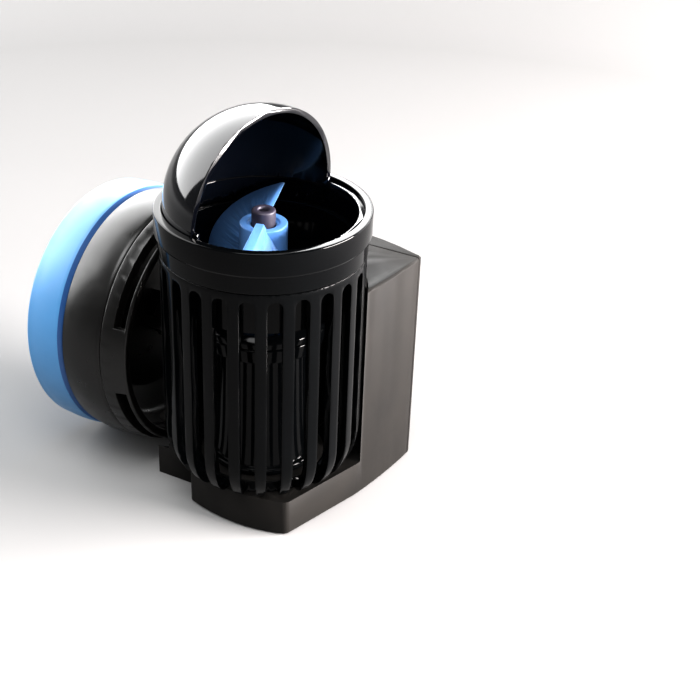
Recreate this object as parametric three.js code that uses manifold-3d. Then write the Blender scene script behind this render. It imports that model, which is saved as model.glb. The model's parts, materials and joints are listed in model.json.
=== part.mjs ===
// Wave maker pump for an aquarium: a canned motor on a moulded block, a slotted intake cage round it,
// a two-bladed propeller in the outlet collar, a swivelling outlet hood and a magnet holder on a swivel.
// Millimetres, +Z up. The origin is on the block's flat underside, on the axis of cage and outlet.
// The magnet holder is at -X and the motor block's rear housing at +Y.
import * as THREE from "three";
import { mergeVertices } from "three/addons/utils/BufferGeometryUtils.js";
import Module from "manifold-3d";

const wasm = await Module();
wasm.setup();

// ---------------------------------------------------------------- driving dimensions
const GAP = 0.3; // air left between pieces that touch
const WIDE_ROUND = 48; // facets round the large turned pieces
const SMALL_ROUND = 16; // facets round the small ones

const collarR = 35; // outlet collar, the widest turned piece
const outletTop = 109; // its rim
const blockTop = 81; // top face of the motor block
const footTop = 13.5; // the step the cage stands on
const cageR = 33.6; // outer radius of the cage wall
const holderY = 16.3; // the stud that carries the magnet holder lies along X through this Y and Z
const holderZ = 47.2;
const padR = 45.2; // blue buffer, the widest piece of the holder

// ---------------------------------------------------------------- shape helpers
function solid(geometry) {
  geometry.deleteAttribute("normal");
  geometry.deleteAttribute("uv");
  const merged = mergeVertices(geometry, 1e-4);
  const triVerts = new Uint32Array(merged.index.array);
  const vertProperties = merged.attributes.position.array;
  let made = new wasm.Manifold(new wasm.Mesh({ numProp: 3, vertProperties, triVerts }));
  if (made.volume() < 0) {
    triVerts.reverse(); // the outline ran the other way round, so the faces are turned over
    made = new wasm.Manifold(new wasm.Mesh({ numProp: 3, vertProperties, triVerts }));
  }
  return made;
}

function box(low, high) {
  const size = high.map((value, axis) => value - low[axis]);
  const centre = high.map((value, axis) => (value + low[axis]) / 2);
  return solid(new THREE.BoxGeometry(...size).translate(...centre));
}

// A solid of revolution. The profile is [radius, height] pairs; the axis is "x", "y" or "z" through `at`.
function turned(profile, { axis = "z", at = [0, 0, 0], facets = WIDE_ROUND } = {}) {
  const closes = profile[0][0] > 0;
  const outline = closes ? [...profile, profile[0]] : profile;
  const geometry = new THREE.LatheGeometry(outline.map(([r, h]) => new THREE.Vector2(r, h)), facets);
  if (axis === "z") geometry.rotateX(Math.PI / 2);
  if (axis === "x") geometry.rotateZ(-Math.PI / 2);
  return solid(geometry.translate(...at));
}

// A plain cylinder or, with a bore, a plain tube.
function tube(radius, from, to, options = {}) {
  const bore = options.bore ?? 0;
  const profile = [[bore, from], [radius, from], [radius, to], [bore, to]];
  return turned(profile, { facets: SMALL_ROUND, ...options });
}

// A flat outline raised from one height to another, with an optional small chamfer on both edges.
function raised(shape, from, to, { chamfer = 0, curveSegments = 8 } = {}) {
  const geometry = new THREE.ExtrudeGeometry(shape, {
    depth: to - from - 2 * chamfer,
    bevelEnabled: chamfer > 0,
    bevelThickness: chamfer,
    bevelSize: chamfer,
    bevelOffset: -chamfer,
    bevelSegments: 1,
    curveSegments,
  });
  return geometry.translate(0, 0, from + chamfer);
}

function joined(...solids) {
  return solids.reduce((sum, next) => sum.add(next));
}

function cut(body, ...cutters) {
  return cutters.reduce((rest, cutter) => rest.subtract(cutter), body);
}

const group = new THREE.Group();
group.name = "wave_maker_pump";

// ---------------------------------------------------------------- materials
const finish = {
  satin_black: { color: 0x1b1a1d, roughness: 0.5, metalness: 0 },
  gloss_black: { color: 0x0d0c10, roughness: 0.16, metalness: 0 },
  propeller_blue: { color: 0x4f8fd6, roughness: 0.35, metalness: 0 },
  buffer_blue: { color: 0x3f94d2, roughness: 0.55, metalness: 0 },
  bearing_grey: { color: 0x453c4a, roughness: 0.5, metalness: 0 },
  magnet_black: { color: 0x2b2a2c, roughness: 0.6, metalness: 0.3 },
  steel: { color: 0xa9abad, roughness: 0.3, metalness: 1 },
  laminated_steel: { color: 0x6f7276, roughness: 0.5, metalness: 1 },
  copper: { color: 0xb8622c, roughness: 0.35, metalness: 1 },
  ceramic_white: { color: 0xe9e6df, roughness: 0.3, metalness: 0 },
  seal_rubber: { color: 0x161616, roughness: 0.8, metalness: 0 },
  board_green: { color: 0x1d5a3a, roughness: 0.5, metalness: 0 },
};

function add(name, body, finishName, parent = group) {
  const mesh = body.getMesh();
  const geometry = new THREE.BufferGeometry();
  geometry.setAttribute("position", new THREE.BufferAttribute(mesh.vertProperties, mesh.numProp));
  geometry.setIndex(new THREE.BufferAttribute(mesh.triVerts, 1));
  geometry.computeVertexNormals();
  const piece = new THREE.Mesh(geometry, new THREE.MeshStandardMaterial(finish[finishName]));
  piece.name = name;
  parent.add(piece);
}

// Turns a group about an axis through a point, wherever its pieces were drawn.
function turnGroup(target, point, axis, angle) {
  target.quaternion.setFromAxisAngle(axis, angle);
  target.position.copy(point).sub(point.clone().applyAxisAngle(axis, angle));
}

// ---------------------------------------------------------------- motor block
// In plan the block is a wedge: a narrow bowed front, sides that open toward the back with a slight
// belly, rounded rear corners and a bowed back. It is set a little off the cage's axis.
const block = {
  x: 2.7,
  frontHalf: 19.4,
  frontY: -20.8,
  frontBow: -24.2,
  frontRound: 1.6, // round of the two upright front corners
  kneeHalf: 28.6,
  kneeY: 11,
  rearHalf: 32.8,
  rearY: 44.5,
  cornerHalf: 30.6,
  cornerY: 46.9,
  backBow: 52.5,
};
const recessR = cageR + 0.8; // the round recess that the cage stands in
const bossR = 21.3; // round boss on the foot that centres the cage and carries the can
const bossTop = 16.8;
const seamY = 44; // front face of the rear cover

function blockPlan(grow = 0) {
  const right = (half) => block.x + half + grow;
  const left = (half) => block.x - half - grow;
  const bow = (apex, ends) => 2 * apex - ends; // control height of a curve that peaks at the apex
  const bowHalf = block.frontHalf - block.frontRound;
  const bowY = block.frontBow + (block.frontY - block.frontBow) * (bowHalf / block.frontHalf) ** 2;
  const sideSlope = (block.kneeHalf - block.frontHalf) / (block.kneeY - block.frontY);
  const sideHalf = block.frontHalf + block.frontRound * sideSlope;
  const sideY = block.frontY + block.frontRound;
  const bellyHalf = block.rearHalf - 0.8;
  const bellyY = (block.kneeY + block.rearY) / 2;
  const plan = new THREE.Shape();
  plan.moveTo(left(bowHalf), bowY - grow);
  plan.quadraticCurveTo(block.x, bow(block.frontBow, bowY) - grow, right(bowHalf), bowY - grow);
  plan.quadraticCurveTo(right(block.frontHalf), block.frontY - grow, right(sideHalf), sideY);
  plan.lineTo(right(block.kneeHalf), block.kneeY);
  plan.quadraticCurveTo(right(bellyHalf), bellyY, right(block.rearHalf), block.rearY);
  plan.quadraticCurveTo(
    right(block.rearHalf), block.cornerY,
    right(block.cornerHalf), block.cornerY + grow,
  );
  plan.quadraticCurveTo(
    block.x, bow(block.backBow, block.cornerY) + grow,
    left(block.cornerHalf), block.cornerY + grow,
  );
  plan.quadraticCurveTo(left(block.rearHalf), block.cornerY, left(block.rearHalf), block.rearY);
  plan.quadraticCurveTo(left(bellyHalf), bellyY, left(block.kneeHalf), block.kneeY);
  plan.lineTo(left(sideHalf), sideY);
  plan.quadraticCurveTo(left(block.frontHalf), block.frontY - grow, left(bowHalf), bowY - grow);
  plan.closePath();
  return plan;
}

const screw = { headR: 2.7, headHeight: 1.8, shankR: 1.4, length: 12, seatY: 46.5 };
const screwPlaces = [-27, 27].flatMap((x) => [7, blockTop - 7].map((z) => [block.x + x, z]));
const gland = { z: 22, holeR: 4.3, boreR: 1.9 };
const seal = { r: 16.6, thickness: 1.8 };

// Two screws hold the swivel bracket against the block's left side.
const bracketScrew = { y: 36, headR: 3, seatX: -32.8, shankR: 1.5, tipX: -22 };
const bracketScrewZ = [24, 56];

function bracketScrewHoles() {
  return bracketScrewZ.map((z) => (
    tube(bracketScrew.shankR + GAP, bracketScrew.tipX + 1, -60, { axis: "x", at: [0, bracketScrew.y, z] })
  ));
}

// An O-ring: a round cord bent to a circle about the Z axis.
function oRing(radius, thickness, z) {
  return solid(new THREE.TorusGeometry(radius, thickness / 2, 6, 32).translate(0, 0, z));
}

function blockBlank() {
  return solid(raised(blockPlan(), 0, blockTop, { chamfer: 0.7 }));
}

function motorBlock() {
  const rearPocket = box([block.x - 23, 37, 13], [block.x + 23, 50, blockTop - 13]);
  const sealGroove = tube(seal.r + 1.1, bossTop - 1.6, bossTop + 1, { bore: seal.r - 1.1, facets: 48 });
  const wireShaft = box([-2.5, 11.5, 6], [2.5, 14.5, bossTop + 1]);
  const wireChannel = box([-2.5, 11.5, 6], [2.5, 40, 9.5]);
  const wireRise = box([-2.5, 37, 6], [2.5, 40, 14]);
  const screwHoles = screwPlaces.map(([x, z]) => (
    tube(screw.shankR + GAP, screw.seatY - screw.length - 1, 50, { axis: "y", at: [x, 0, z] })
  ));
  const recess = cut(
    tube(recessR, footTop, blockTop + 5, { facets: WIDE_ROUND }),
    tube(bossR, footTop - 1, bossTop, { facets: 48 }),
  );
  return cut(
    blockBlank().intersect(box([-80, -80, -5], [80, seamY, 120])),
    recess, rearPocket, sealGroove, wireShaft, wireChannel, wireRise, ...screwHoles, ...bracketScrewHoles(),
  );
}

function rearCover() {
  const pocket = box([block.x - 20, seamY - 1, 13], [block.x + 20, 48.5, blockTop - 13]);
  const heads = screwPlaces.map(([x, z]) => (
    tube(screw.headR + GAP, screw.seatY - GAP, 60, { axis: "y", at: [x, 0, z] })
  ));
  const shanks = screwPlaces.map(([x, z]) => (
    tube(screw.shankR + GAP, 40, 60, { axis: "y", at: [x, 0, z] })
  ));
  const glandHole = tube(gland.holeR, 40, 60, { axis: "y", at: [block.x, 0, gland.z] });
  return cut(
    blockBlank().intersect(box([-80, seamY + GAP, -5], [80, 80, 120])),
    pocket, glandHole, ...heads, ...shanks,
  );
}

// A pan-head screw with a cross-shaped drive; the head's seat is at `seat`, its tip points along -Y.
function coverScrew([x, z]) {
  const profile = [
    [0, screw.seatY - screw.length],
    [screw.shankR, screw.seatY - screw.length + 1],
    [screw.shankR, screw.seatY],
    [screw.headR, screw.seatY],
    [screw.headR, screw.seatY + screw.headHeight - 0.5],
    [screw.headR - 0.6, screw.seatY + screw.headHeight],
    [0, screw.seatY + screw.headHeight],
  ];
  const body = turned(profile, { axis: "y", at: [x, 0, z], facets: 16 });
  const bottom = screw.seatY + 0.7;
  const across = box([x - 1.6, bottom, z - 0.35], [x + 1.6, 60, z + 0.35]);
  const upright = box([x - 0.35, bottom, z - 1.6], [x + 0.35, 60, z + 1.6]);
  return cut(body, across, upright);
}

add("motor_block", motorBlock(), "satin_black");
add("rear_cover", rearCover(), "satin_black");
screwPlaces.forEach((place, i) => add(`cover_screw_${i + 1}`, coverScrew(place), "steel"));

// The cable enters through a gland low on the rear cover.
const glandFace = block.backBow + GAP;
add("cable_gland", turned([
  [gland.boreR, 42],
  [gland.holeR - GAP, 42],
  [gland.holeR - GAP, glandFace],
  [6.6, glandFace],
  [6.6, glandFace + 2],
  [4.2, glandFace + 2],
  [4.2, glandFace + 8],
  [gland.boreR, glandFace + 8],
], { axis: "y", at: [block.x, 0, gland.z], facets: 24 }), "satin_black");
add("gland_nut", turned([
  [4.5, glandFace + 2.3],
  [6, glandFace + 2.3],
  [6, glandFace + 6.5],
  [5.2, glandFace + 9.5],
  [2.4, glandFace + 9.5],
  [2.4, glandFace + 8.3],
  [4.5, glandFace + 8.3],
], { axis: "y", at: [block.x, 0, gland.z], facets: 12 }), "satin_black");

// ---------------------------------------------------------------- driver electronics
const board = { half: 21, front: 38.5, back: 40.1, bottom: 16, top: 65 };
const driver = { left: -16, right: 2, back: 44.5, bottom: 40, top: 58 };
const capacitor = { r: 3.6, x: 12, z: 50, back: 48.1 };

add("circuit_board", box(
  [block.x - board.half, board.front, board.bottom],
  [block.x + board.half, board.back, board.top],
), "board_green");
add("driver_module", box(
  [block.x + driver.left, board.back + GAP, driver.bottom],
  [block.x + driver.right, driver.back, driver.top],
), "magnet_black");
add("capacitor", tube(capacitor.r, board.back + GAP, capacitor.back, {
  axis: "y",
  at: [block.x + capacitor.x, 0, capacitor.z],
}), "magnet_black");

// ---------------------------------------------------------------- canned motor
// The can is one thin moulding: an outer wall, a closed top and a blind well down the middle. The
// rotor turns in the flooded well and the stator stays dry between well and wall.
const canBottom = bossTop + GAP;
const canR = 17;
const canTop = 67;
const wellR = 9.2;
const wellWall = 1.2;
const wellFloor = canBottom + 2.6;

add("can_seal", oRing(seal.r, seal.thickness, bossTop - 0.65), "seal_rubber");
add("rotor_can", turned([
  [0, canBottom + GAP],
  [wellR + wellWall, canBottom + GAP],
  [wellR + wellWall, canTop - 3.4],
  [canR - 1.4, canTop - 3.4],
  [canR - 1.4, canBottom],
  [canR + 1.6, canBottom],
  [canR + 1.6, canBottom + 2.4],
  [canR, canBottom + 2.4],
  [canR, canTop - 6],
  [canR + 3.6, canTop - 4.6],
  [canR + 3.6, canTop],
  [wellR, canTop],
  [wellR, wellFloor],
  [0, wellFloor],
]), "satin_black");

const core = { bottom: 25, top: 56, outerR: 15.3, innerR: 13.4, poleR: 10.8, poleWidth: 5 };
const poleTurns = [0, 1, 2, 3].map((quarter) => (quarter * Math.PI) / 2);

function radialBlock(fromR, toR, width, fromZ, toZ, turn) {
  const geometry = new THREE.BoxGeometry(toR - fromR, width, toZ - fromZ);
  return solid(geometry.translate((fromR + toR) / 2, 0, (fromZ + toZ) / 2).rotateZ(turn));
}

function statorCore() {
  const poles = poleTurns.map((turn) => (
    radialBlock(core.poleR, core.innerR + 0.5, core.poleWidth, core.bottom, core.top, turn)
  ));
  return joined(tube(core.outerR, core.bottom, core.top, { bore: core.innerR, facets: 40 }), ...poles);
}

function coil(turn) {
  const inner = core.poleWidth + 2 * GAP;
  const winding = radialBlock(11.3, 12.5, inner + 3.2, core.bottom - 2.2, core.top + 2.2, turn);
  return cut(winding, radialBlock(10, 14, inner, core.bottom - GAP, core.top + GAP, turn));
}

add("stator_core", statorCore(), "laminated_steel");
poleTurns.forEach((turn, i) => add(`coil_${i + 1}`, coil(turn), "copper"));

// ---------------------------------------------------------------- rotor, propeller and shaft
const shaftR = 1.5;
const sleeveR = 3.9;
const sleeveTop = 107.7;
const hub = { r: 7.8, bottom: 78, top: 103.2 };
const rotorBottom = wellFloor + 4.4;

add("lower_bush", tube(5, wellFloor + GAP, wellFloor + 3.8, { bore: shaftR + GAP }), "seal_rubber");
add("shaft", tube(shaftR, wellFloor + 0.4, sleeveTop - 3.4), "ceramic_white");
add("rotor_sleeve", turned([
  [shaftR + GAP, rotorBottom],
  [sleeveR, rotorBottom],
  [sleeveR, sleeveTop - 0.5],
  [sleeveR - 0.5, sleeveTop],
  [1.2, sleeveTop],
  [1.2, sleeveTop - 3],
  [shaftR + GAP, sleeveTop - 3],
], { facets: 24 }), "bearing_grey");
const magnetRing = tube(wellR - 0.7, rotorBottom + 1, core.top + 2, { bore: sleeveR + GAP, facets: 32 });
add("rotor_magnet", magnetRing, "magnet_black");
add("well_cover", turned([
  [sleeveR + 0.4, canTop - 6],
  [wellR - GAP, canTop - 6],
  [wellR - GAP, canTop + GAP],
  [canR + 3.4, canTop + GAP],
  [canR + 3.4, canTop + 2.4],
  [canR + 1, canTop + 4],
  [sleeveR + 0.4, canTop + 5.4],
], { facets: 48 }), "satin_black");

// A blade is a strip swept about the axis as it falls: it leaves the top edge steeply and lies over
// toward the bottom. Its top edge is radial, and it thins from root to tip.
const blade = {
  rootR: sleeveR + 1.5,
  r: 28.5,
  rootHalf: 1.2, // half the thickness
  tipHalf: 0.7,
  bottom: 80,
  top: 104.8,
  sweep: THREE.MathUtils.degToRad(54),
  camber: 2.7,
  steps: 12,
};
const bladeLead = THREE.MathUtils.degToRad(108); // where the first blade's top edge points

function propellerBlade(lead) {
  const strip = new THREE.Shape();
  strip.moveTo(blade.rootR, -blade.rootHalf);
  strip.lineTo(blade.r - 0.5, -blade.tipHalf);
  strip.lineTo(blade.r, 0);
  strip.lineTo(blade.r - 0.5, blade.tipHalf);
  strip.lineTo(blade.rootR, blade.rootHalf);
  strip.closePath();
  const height = blade.top - blade.bottom;
  const geometry = new THREE.ExtrudeGeometry(strip, {
    depth: height,
    steps: blade.steps,
    bevelEnabled: false,
  });
  const place = geometry.attributes.position;
  for (let i = 0; i < place.count; i += 1) {
    const rise = place.getZ(i) / height;
    const turn = lead + blade.sweep * (1 - rise ** blade.camber);
    const [x, y] = [place.getX(i), place.getY(i)];
    place.setXYZ(
      i,
      x * Math.cos(turn) - y * Math.sin(turn),
      x * Math.sin(turn) + y * Math.cos(turn),
      blade.bottom + rise * height,
    );
  }
  return solid(geometry);
}

function propeller() {
  const hubBody = turned([
    [0, hub.bottom],
    [hub.r - 1.5, hub.bottom],
    [hub.r, hub.bottom + 1.5],
    [hub.r, hub.top - 0.4],
    [hub.r - 0.4, hub.top],
    [sleeveR + 1.4, hub.top],
    [sleeveR + 1.2, hub.top - 0.8],
    [0, hub.top - 0.8],
  ], { facets: 36 });
  const blades = [0, Math.PI].map((half) => propellerBlade(bladeLead + half));
  return cut(joined(hubBody, ...blades), tube(sleeveR + GAP, hub.bottom - 2, hub.top + 3, { facets: 24 }));
}

add("propeller", propeller(), "propeller_blue");

// ---------------------------------------------------------------- intake cage
const cage = {
  bottom: footTop + GAP,
  top: 94.3,
  wall: 3.2,
  floorR: bossR + GAP,
  floorTop: 16.9,
  ringR: 23.2, // the bottom ring that the ribs run into
  ringInnerR: 22, // inside of the rounded bottom, where it meets the floor
  roundTop: 30.9, // where the rounded bottom becomes the straight wall
  slots: 24,
  slotWidth: 5,
  slotTop: 91.8,
};

function cageBlank() {
  const innerR = cageR - cage.wall;
  const quarter = [0, 1, 2, 3, 4].map((step) => (step / 4) * (Math.PI / 2));
  const outside = quarter.map((angle) => [
    cage.ringR + (cageR - cage.ringR) * Math.sin(angle),
    cage.roundTop - (cage.roundTop - cage.bottom) * Math.cos(angle),
  ]);
  const inside = [...quarter].reverse().map((angle) => [
    cage.ringInnerR + (innerR - cage.ringInnerR) * Math.sin(angle),
    cage.roundTop - (cage.roundTop - cage.floorTop) * Math.cos(angle),
  ]);
  return turned([
    [cage.floorR, cage.bottom],
    ...outside,
    [cageR, cage.top],
    [innerR, cage.top],
    ...inside,
    [cage.floorR, cage.floorTop],
  ], { facets: 3 * cage.slots });
}

// One slot: straight sides and a round top, cut outward from the bottom ring.
function cageSlot(turn) {
  const half = cage.slotWidth / 2;
  const outline = new THREE.Shape();
  outline.moveTo(-half, cage.bottom - 2);
  outline.lineTo(half, cage.bottom - 2);
  outline.lineTo(half, cage.slotTop - half);
  outline.absarc(0, cage.slotTop - half, half, 0, Math.PI);
  outline.closePath();
  const geometry = new THREE.ExtrudeGeometry(outline, { depth: 12, bevelEnabled: false, curveSegments: 4 });
  geometry.rotateX(Math.PI / 2).rotateZ(Math.PI / 2).translate(cage.ringR, 0, 0);
  return solid(geometry.rotateZ(turn));
}

function intakeCage() {
  const pitch = (2 * Math.PI) / cage.slots;
  const slots = Array.from({ length: cage.slots }, (_, i) => cageSlot((i + 0.5) * pitch));
  return cut(cageBlank(), ...slots);
}

add("cage", intakeCage(), "gloss_black");

// ---------------------------------------------------------------- outlet collar and hood
const spigotR = cageR - cage.wall - GAP; // the collar's spigot stands inside the top of the cage
const spigotBottom = 79; // it reaches down round the propeller as its shroud
const hoodR = 32.2;
const hoodWall = 1.7;
const ringTop = outletTop - 1.2; // the hood's own ring lies just below the collar's rim
const ringBottom = 98.4;
const hoodTurn = THREE.MathUtils.degToRad(-12); // which way the hood faces in its present place

add("outlet_collar", turned([
  [spigotR - 1.2, spigotBottom],
  [spigotR, spigotBottom],
  [spigotR, cage.top + GAP],
  [collarR - 1.1, cage.top + GAP],
  [collarR - 1.1, 100.6],
  [collarR, 101.2],
  [collarR, outletTop - 0.9],
  [collarR - 0.9, outletTop],
  [hoodR + 0.9, outletTop],
  [hoodR + 0.5, outletTop - 0.4],
  [hoodR + 0.5, ringBottom - GAP],
  [spigotR - 1.2, ringBottom - GAP],
]), "gloss_black");

// The hood is half a dome on a full ring. The dome leans a little past the axis, over the open side.
function outletHood() {
  const dome = [0, 1, 2, 3, 4, 5, 6, 7].map((step) => (step / 7) * (Math.PI / 2));
  const outside = dome.map((angle) => [hoodR * Math.cos(angle), outletTop + hoodR * Math.sin(angle)]);
  const innerR = hoodR - hoodWall;
  const inside = [...dome].reverse().map((angle) => [
    innerR * Math.cos(angle),
    outletTop + innerR * Math.sin(angle),
  ]);
  const full = turned([
    ...inside,
    [innerR, ringBottom],
    [hoodR, ringBottom],
    ...outside,
  ]);
  const lean = THREE.MathUtils.degToRad(4);
  const keep = new THREE.BoxGeometry(80, 90, 120);
  keep.translate(-40, 0, 0).rotateY(lean).translate(0, 0, outletTop);
  const halfDome = full.intersect(solid(keep.rotateZ(hoodTurn)));
  const ring = tube(hoodR, ringBottom, ringTop, { bore: innerR, facets: WIDE_ROUND });
  const lugs = [-1, 1].map((side) => {
    const lug = new THREE.BoxGeometry(3, 1.6, 8).translate(0.6, side * (innerR - 0.3), outletTop - 1);
    return solid(lug.rotateZ(hoodTurn));
  });
  return joined(halfDome, ring, ...lugs);
}

add("outlet_hood", outletHood(), "gloss_black");

// ---------------------------------------------------------------- swivel for the magnet holder
const bracket = {
  faceX: -34.8, // front of the tower, which stands in the mouth of the slotted ring
  towerR: 37.3, // the tower's reach from the stud's axis, inside the slotted ring
  shelfX: -31.5, // the rest stands back, clear of the slotted ring as it turns and tilts
  frontY: -12,
  backY: 43,
  shoulder: 25,
  towerTop: 62,
  toeX: -36, // the front foot of the shelf, under the slotted ring
  toeY: -2,
  toeTop: 11.5,
  toeR: 45.6, // its top is hollowed to this radius about the stud's axis
};
const stud = { journalR: 4, flangeR: 9, tongue: 5, pivotX: -49, pinR: 2 };

// A ring, disc or tube on the stud's axis, which is the magnet holder's own axis before it tilts.
function onHolderAxis(profile, facets = WIDE_ROUND) {
  return turned(profile, { axis: "x", at: [0, holderY, holderZ], facets });
}

// A disc on the stud's axis from one place along X to another.
function discOnAxis(radius, fromX, toX, facets = WIDE_ROUND) {
  return onHolderAxis([[0, fromX], [radius, fromX], [radius, toX], [0, toX]], facets);
}

// Turns a flat outline drawn in Y and Z into a plate that runs along X from one place to another.
function alongX(outline, fromX, toX, curveSegments = 8) {
  const depth = toX - fromX;
  const geometry = new THREE.ExtrudeGeometry(outline, { depth, bevelEnabled: false, curveSegments });
  return solid(geometry.rotateX(Math.PI / 2).rotateZ(Math.PI / 2).translate(fromX, 0, 0));
}

// The bracket has a tower behind the holder's axis and a toe at floor level. It is shaped to the cage
// and to the block's side, which it is screwed to.
function swivelBracket() {
  const side = new THREE.Shape();
  const shoulderR = bracket.towerTop - holderZ;
  side.moveTo(bracket.frontY, 0);
  side.lineTo(bracket.backY, 0);
  side.lineTo(bracket.backY, bracket.towerTop);
  side.lineTo(holderY, bracket.towerTop);
  side.absarc(holderY, holderZ, shoulderR, Math.PI / 2, Math.PI * 1.1);
  side.lineTo(bracket.frontY + 3, bracket.shoulder);
  side.lineTo(bracket.frontY, bracket.shoulder);
  side.closePath();
  const innerX = -22;
  const outer = alongX(side, bracket.faceX, bracket.shelfX).intersect(
    discOnAxis(bracket.towerR, bracket.faceX - 1, bracket.shelfX + 1),
  );
  const toe = cut(
    box([bracket.toeX, bracket.frontY, 0], [innerX, bracket.toeY, bracket.toeTop]),
    discOnAxis(bracket.toeR, bracket.toeX - 1, bracket.shelfX),
  );
  const blank = joined(alongX(side, bracket.shelfX, innerX), outer, toe);
  const cageRoom = tube(recessR - 0.1, footTop, 90, { facets: WIDE_ROUND });
  const blockRoom = solid(raised(blockPlan(GAP), -1, 90));
  const journalBore = discOnAxis(stud.journalR + GAP, -60, 0, 32);
  const headRooms = bracketScrewZ.map((z) => (
    tube(bracketScrew.headR + GAP, bracketScrew.seatX, -60, { axis: "x", at: [0, bracketScrew.y, z] })
  ));
  return cut(blank, cageRoom, blockRoom, journalBore, ...bracketScrewHoles(), ...headRooms);
}

function bracketFixing(z) {
  const seat = bracketScrew.seatX - GAP;
  const body = turned([
    [0, seat - 1.8],
    [bracketScrew.headR - 0.6, seat - 1.8],
    [bracketScrew.headR, seat - 1.2],
    [bracketScrew.headR, seat],
    [bracketScrew.shankR, seat],
    [bracketScrew.shankR, bracketScrew.tipX - 1],
    [0, bracketScrew.tipX],
  ], { axis: "x", at: [0, bracketScrew.y, z], facets: 16 });
  const drive = box([-60, bracketScrew.y - 1.7, z - 0.4], [seat - 1, bracketScrew.y + 1.7, z + 0.4]);
  return cut(body, drive);
}

add("swivel_bracket", swivelBracket(), "satin_black");
bracketScrewZ.forEach((z, i) => add(`bracket_screw_${i + 1}`, bracketFixing(z), "steel"));
add("friction_washer", onHolderAxis([
  [stud.journalR + GAP, bracket.faceX - 0.9],
  [stud.flangeR, bracket.faceX - 0.9],
  [stud.flangeR, bracket.faceX - GAP],
  [stud.journalR + GAP, bracket.faceX - GAP],
], 36), "seal_rubber");

// At rest the stud is turned in the bracket, so that its hinge pin leans toward the back.
const restSpin = THREE.MathUtils.degToRad(-39);
const studAxisPoint = new THREE.Vector3(0, holderY, holderZ);
const swivelGroup = new THREE.Group();
swivelGroup.name = "swivel";
turnGroup(swivelGroup, studAxisPoint, new THREE.Vector3(1, 0, 0), restSpin);
group.add(swivelGroup);

const flangeX = bracket.faceX - 1.2; // the stud's flange presses on the washer from here
const knuckleR = 5.6;

// A knuckle rounded about the upright hinge pin, from one height to another above the holder's axis.
function knuckle(low, high, fromX, radius) {
  const round = tube(radius, holderZ + low, holderZ + high, { at: [stud.pivotX, holderY, 0], facets: 28 });
  const lowX = Math.min(fromX, stud.pivotX);
  const highX = Math.max(fromX, stud.pivotX);
  const root = box([lowX, holderY - radius, holderZ + low], [highX, holderY + radius, holderZ + high]);
  return joined(round, root);
}

function pinHole() {
  return tube(stud.pinR + GAP, holderZ - 20, holderZ + 20, { at: [stud.pivotX, holderY, 0] });
}

function swivelStud() {
  const turnedPart = onHolderAxis([
    [0, flangeX - 2.6],
    [stud.flangeR - 1, flangeX - 2.6],
    [stud.flangeR, flangeX - 1.6],
    [stud.flangeR, flangeX],
    [stud.journalR, flangeX],
    [stud.journalR, bracket.faceX + 3],
    [0, bracket.faceX + 3],
  ], 36);
  const half = stud.tongue / 2;
  return cut(joined(turnedPart, knuckle(-half, half, flangeX - 1, knuckleR)), pinHole());
}

add("swivel_stud", swivelStud(), "satin_black", swivelGroup);
const hingePin = tube(stud.pinR, holderZ - 8, holderZ + 8, { at: [stud.pivotX, holderY, 0] });
add("hinge_pin", hingePin, "steel", swivelGroup);

// ---------------------------------------------------------------- magnet holder
// From the glass inward: blue buffer cap, magnet, steel plate, black cup, slotted ring.
const holder = {
  glassX: -76.8,
  seamX: -63, // where the blue buffer meets the black cup
  skinX: -60.9, // where the cup's outer skin starts, past a narrow groove
  backX: -58.4, // back of the cup's floor, against the steel plate
  floorX: -55.4, // the cup's inner floor
  grooveX: -44.7, // between the cup and the slotted ring
  mouthX: -35.2,
};
const magnetR = 30;
const capWall = 2.7; // how far the buffer's rim reaches in over the cup

// Everything on the cup turns about the hinge pin, and rests turned a little from straight.
const restTilt = THREE.MathUtils.degToRad(-4);
const holderGroup = new THREE.Group();
holderGroup.name = "magnet_holder";
turnGroup(holderGroup, new THREE.Vector3(stud.pivotX, holderY, 0), new THREE.Vector3(0, 0, 1), restTilt);
swivelGroup.add(holderGroup);

// Points of a wall that is widest at its middle and falls by `drop` toward both ends.
function crowned(radius, drop, from, to, steps = 5) {
  return Array.from({ length: steps + 1 }, (_, i) => {
    const t = (2 * i) / steps - 1;
    return [radius - drop * t * t, from + ((to - from) * i) / steps];
  });
}

function magnetCup() {
  const socketR = padR - capWall - GAP; // the stretch that the buffer's rim slides over
  const bowl = onHolderAxis([
    [0, holder.floorX],
    [28, holder.floorX],
    [34, holder.floorX + 1.6],
    [37.6, holder.floorX + 5.2],
    [39.4, holder.grooveX - GAP],
    [43.7, holder.grooveX - GAP],
    ...crowned(padR, 0.9, holder.grooveX - 1, holder.skinX),
    [socketR, holder.seamX + 1.6],
    [socketR, holder.glassX + 2.8],
    [magnetR + 2, holder.glassX + 2.8],
    [magnetR + 2, holder.backX],
    [0, holder.backX],
  ]);
  const inner = stud.tongue / 2 + GAP;
  const lowEar = knuckle(-inner - 4, -inner, holder.floorX - 1, knuckleR);
  const highEar = knuckle(inner, inner + 4, holder.floorX - 1, knuckleR);
  return cut(joined(bowl, lowEar, highEar), pinHole());
}

// The ring's slots run round its wall, close to the rim.
const ringSlot = {
  fromX: -40.1,
  toX: -36.1,
  innerR: 37,
  outerR: 48,
  reach: THREE.MathUtils.degToRad(29), // to each side of its middle
  firstMiddle: THREE.MathUtils.degToRad(40), // about the stud's axis, up from +Y
};

function arcSlot(middle) {
  const [start, end] = [middle - ringSlot.reach, middle + ringSlot.reach];
  const outline = new THREE.Shape();
  outline.absarc(0, 0, ringSlot.outerR, start, end);
  outline.absarc(0, 0, ringSlot.innerR, end, start, true);
  outline.closePath();
  return alongX(outline, ringSlot.fromX, ringSlot.toX, 6).translate([0, holderY, holderZ]);
}

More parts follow.
